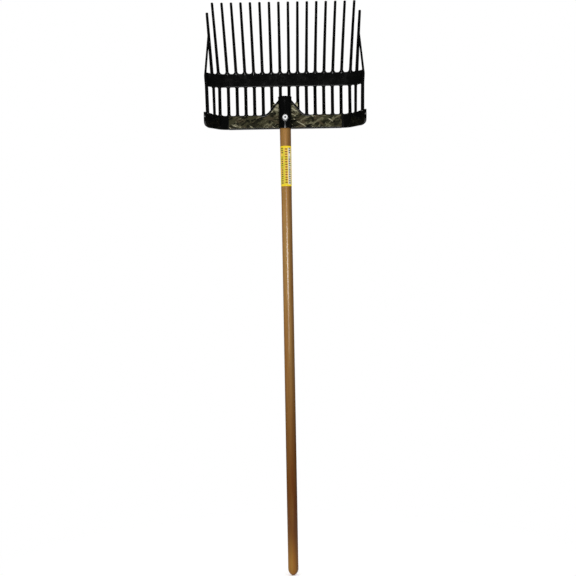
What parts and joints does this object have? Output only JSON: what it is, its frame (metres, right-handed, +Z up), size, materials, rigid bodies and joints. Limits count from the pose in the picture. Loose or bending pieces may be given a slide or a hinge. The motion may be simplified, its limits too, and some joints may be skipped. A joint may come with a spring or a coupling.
{
  "type": "stable fork",
  "caption": "Stable fork with a moulded basket head of fine tines, a crossbar and curved side walls, on a straight wooden handle held in a closed socket by a screw.",
  "frame": {"origin": "middle of the handle's butt end, on the handle's axis", "axes": "+Z up along the handle towards the tips of the tines; -Y to the front, the carrying side of the basket, where the screw and the film are; +X to the right seen from the front"},
  "size_m": [0.4132, 0.0865, 1.477],
  "materials": {
    "black_plastic": "moulded, glossy",
    "film": "printed blotch pattern in olive and brown under clear lacquer",
    "varnished_wood": "varnished straight-grained hardwood",
    "label": "laminated yellow label",
    "zinc_plate": "bright zinc plate"
  },
  "bodies": {
    "root": {"handle": "varnished_wood", "label": "label", "socket": "black_plastic", "screw": "zinc_plate", "washer": "zinc_plate", "base_plate_left": "black_plastic", "base_plate_right": "black_plastic", "web_left": "black_plastic", "web_right": "black_plastic", "end_cup_left": "black_plastic", "end_cup_right": "black_plastic", "film_left": "film", "film_right": "film", "crossbar": "black_plastic", "crossbar_end_left": "black_plastic", "crossbar_end_right": "black_plastic", "side_tine_left": "black_plastic", "side_tine_right": "black_plastic", "side_rail_left": "black_plastic", "side_rail_right": "black_plastic", "tine_01": "black_plastic", "tine_02": "black_plastic", "tine_03": "black_plastic", "tine_04": "black_plastic", "tine_05": "black_plastic", "tine_06": "black_plastic", "tine_07": "black_plastic", "tine_08": "black_plastic", "tine_09": "black_plastic", "tine_10": "black_plastic", "tine_11": "black_plastic", "tine_12": "black_plastic", "tine_13": "black_plastic", "tine_14": "black_plastic", "tine_15": "black_plastic", "tine_16": "black_plastic"}
  },
  "joints": []
}
